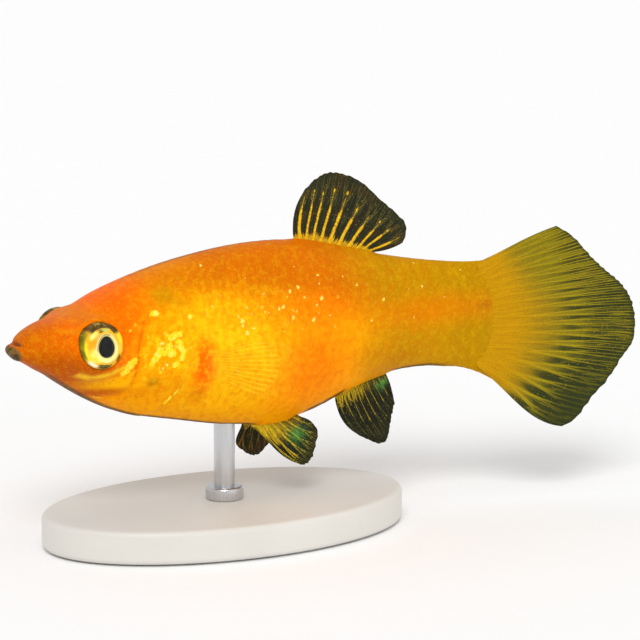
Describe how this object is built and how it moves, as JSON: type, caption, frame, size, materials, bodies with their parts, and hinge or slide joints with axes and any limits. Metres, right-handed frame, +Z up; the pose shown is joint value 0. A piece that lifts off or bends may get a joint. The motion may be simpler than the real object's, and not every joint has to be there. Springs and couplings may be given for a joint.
{
  "type": "gold molly fish model on a display stand",
  "caption": "Life-size still model of a gold molly aquarium fish, swimming with its tail turned to the left, held over a flat oval base by a short rod.",
  "frame": {"origin": "middle of the underside of the oval base", "axes": "+Z up, -X towards the snout, +X towards the tail, -Y towards the fish's left side"},
  "size_m": [0.0722, 0.025, 0.0372],
  "materials": {
    "skin_gold": "wet satin, scaled",
    "lip_grey": "wet satin",
    "fin_dark": "wet satin, rayed",
    "tail_olive": "wet satin, rayed",
    "fin_clear": "clear, rayed",
    "eye_gold": "gloss",
    "stand_white": "satin",
    "rod_steel": "satin"
  },
  "bodies": {
    "root": {"head": "skin_gold", "lower_jaw": "lip_grey", "gill_cover_left": "skin_gold", "gill_cover_right": "skin_gold", "trunk": "skin_gold", "tail_stem": "skin_gold", "dorsal_fin": "fin_dark", "caudal_fin": "tail_olive", "anal_fin": "fin_dark", "pelvic_fin_left": "fin_dark", "pelvic_fin_right": "fin_dark", "pectoral_fin_left": "fin_clear", "pectoral_fin_right": "fin_clear", "eye_left": "eye_gold", "eye_right": "eye_gold", "stand_base": "stand_white", "stand_rod": "rod_steel"}
  },
  "joints": []
}
